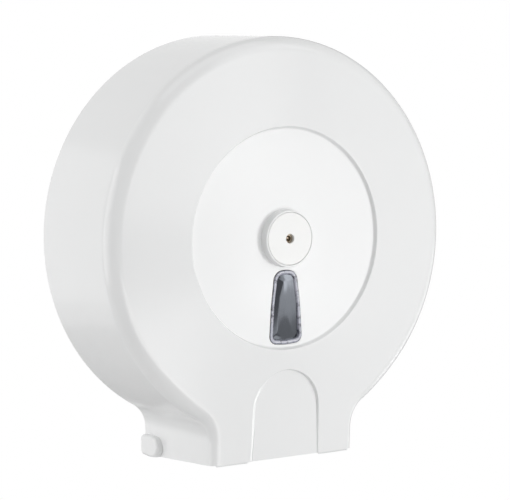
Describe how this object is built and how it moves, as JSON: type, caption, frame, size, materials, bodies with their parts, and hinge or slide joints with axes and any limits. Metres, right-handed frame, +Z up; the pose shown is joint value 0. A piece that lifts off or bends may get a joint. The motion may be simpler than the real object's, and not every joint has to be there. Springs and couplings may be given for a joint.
{
  "type": "toilet roll dispenser",
  "caption": "Wall-mounted round dispenser for a jumbo toilet roll, with a hinged lockable cover, a sight window, a paper outlet with tear teeth and a turning hub.",
  "frame": {"origin": "on the drum's axis, on the wall plate's rear face", "axes": "+Z up the wall, +Y into the wall, +X to the right as seen from the front"},
  "size_m": [0.33, 0.1137, 0.3502],
  "materials": {
    "cover_plastic": "glossy white ABS moulding",
    "cap_plastic": "glossy white ABS moulding",
    "plate_plastic": "satin white ABS moulding",
    "post_plastic": "matte white acetal moulding",
    "hub_plastic": "matte off-white acetal moulding",
    "window_smoke": "polished smoke-grey clear plastic",
    "retainer_plastic": "matte dark grey moulding",
    "housing_zinc": "plated zinc die casting",
    "barrel_brass": "turned brass",
    "plate_steel": "zinc-plated sheet steel",
    "washer_steel": "zinc-plated sheet steel",
    "pin_steel": "drawn steel",
    "screw_steel": "zinc-plated steel",
    "spring_steel": "dark spring steel"
  },
  "bodies": {
    "base": {"back_plate": "plate_plastic", "spindle_post": "post_plastic", "spindle_screws": "screw_steel", "keeper_plate": "plate_steel", "keeper_screws": "screw_steel", "hub_washer": "washer_steel", "hub_clip": "spring_steel", "hinge_pin_left": "pin_steel", "hinge_pin_right": "pin_steel"},
    "hub": {"hub": "hub_plastic"},
    "cover": {"cover_shell": "cover_plastic", "window_lens": "window_smoke", "window_retainer": "retainer_plastic", "window_screws": "screw_steel", "lock_cap": "cap_plastic", "lock_housing": "housing_zinc", "lock_nut": "housing_zinc"},
    "lock": {"lock_barrel": "barrel_brass", "lock_bar": "plate_steel", "bar_washer": "washer_steel", "bar_screw": "screw_steel"}
  },
  "joints": [
    {"name": "cover_hinge", "type": "hinge", "parent": "base", "child": "cover", "pos_m": [0, -0.012, -0.1765], "axis": [1, 0, 0], "range_deg": [0, 90]},
    {"name": "hub_spin", "type": "hinge", "parent": "base", "child": "hub", "pos_m": [0, -0.04, 0], "axis": [0, 1, 0], "continuous": true},
    {"name": "lock_turn", "type": "hinge", "parent": "cover", "child": "lock", "pos_m": [0, -0.1, 0], "axis": [0, 1, 0], "range_deg": [0, 90]}
  ]
}
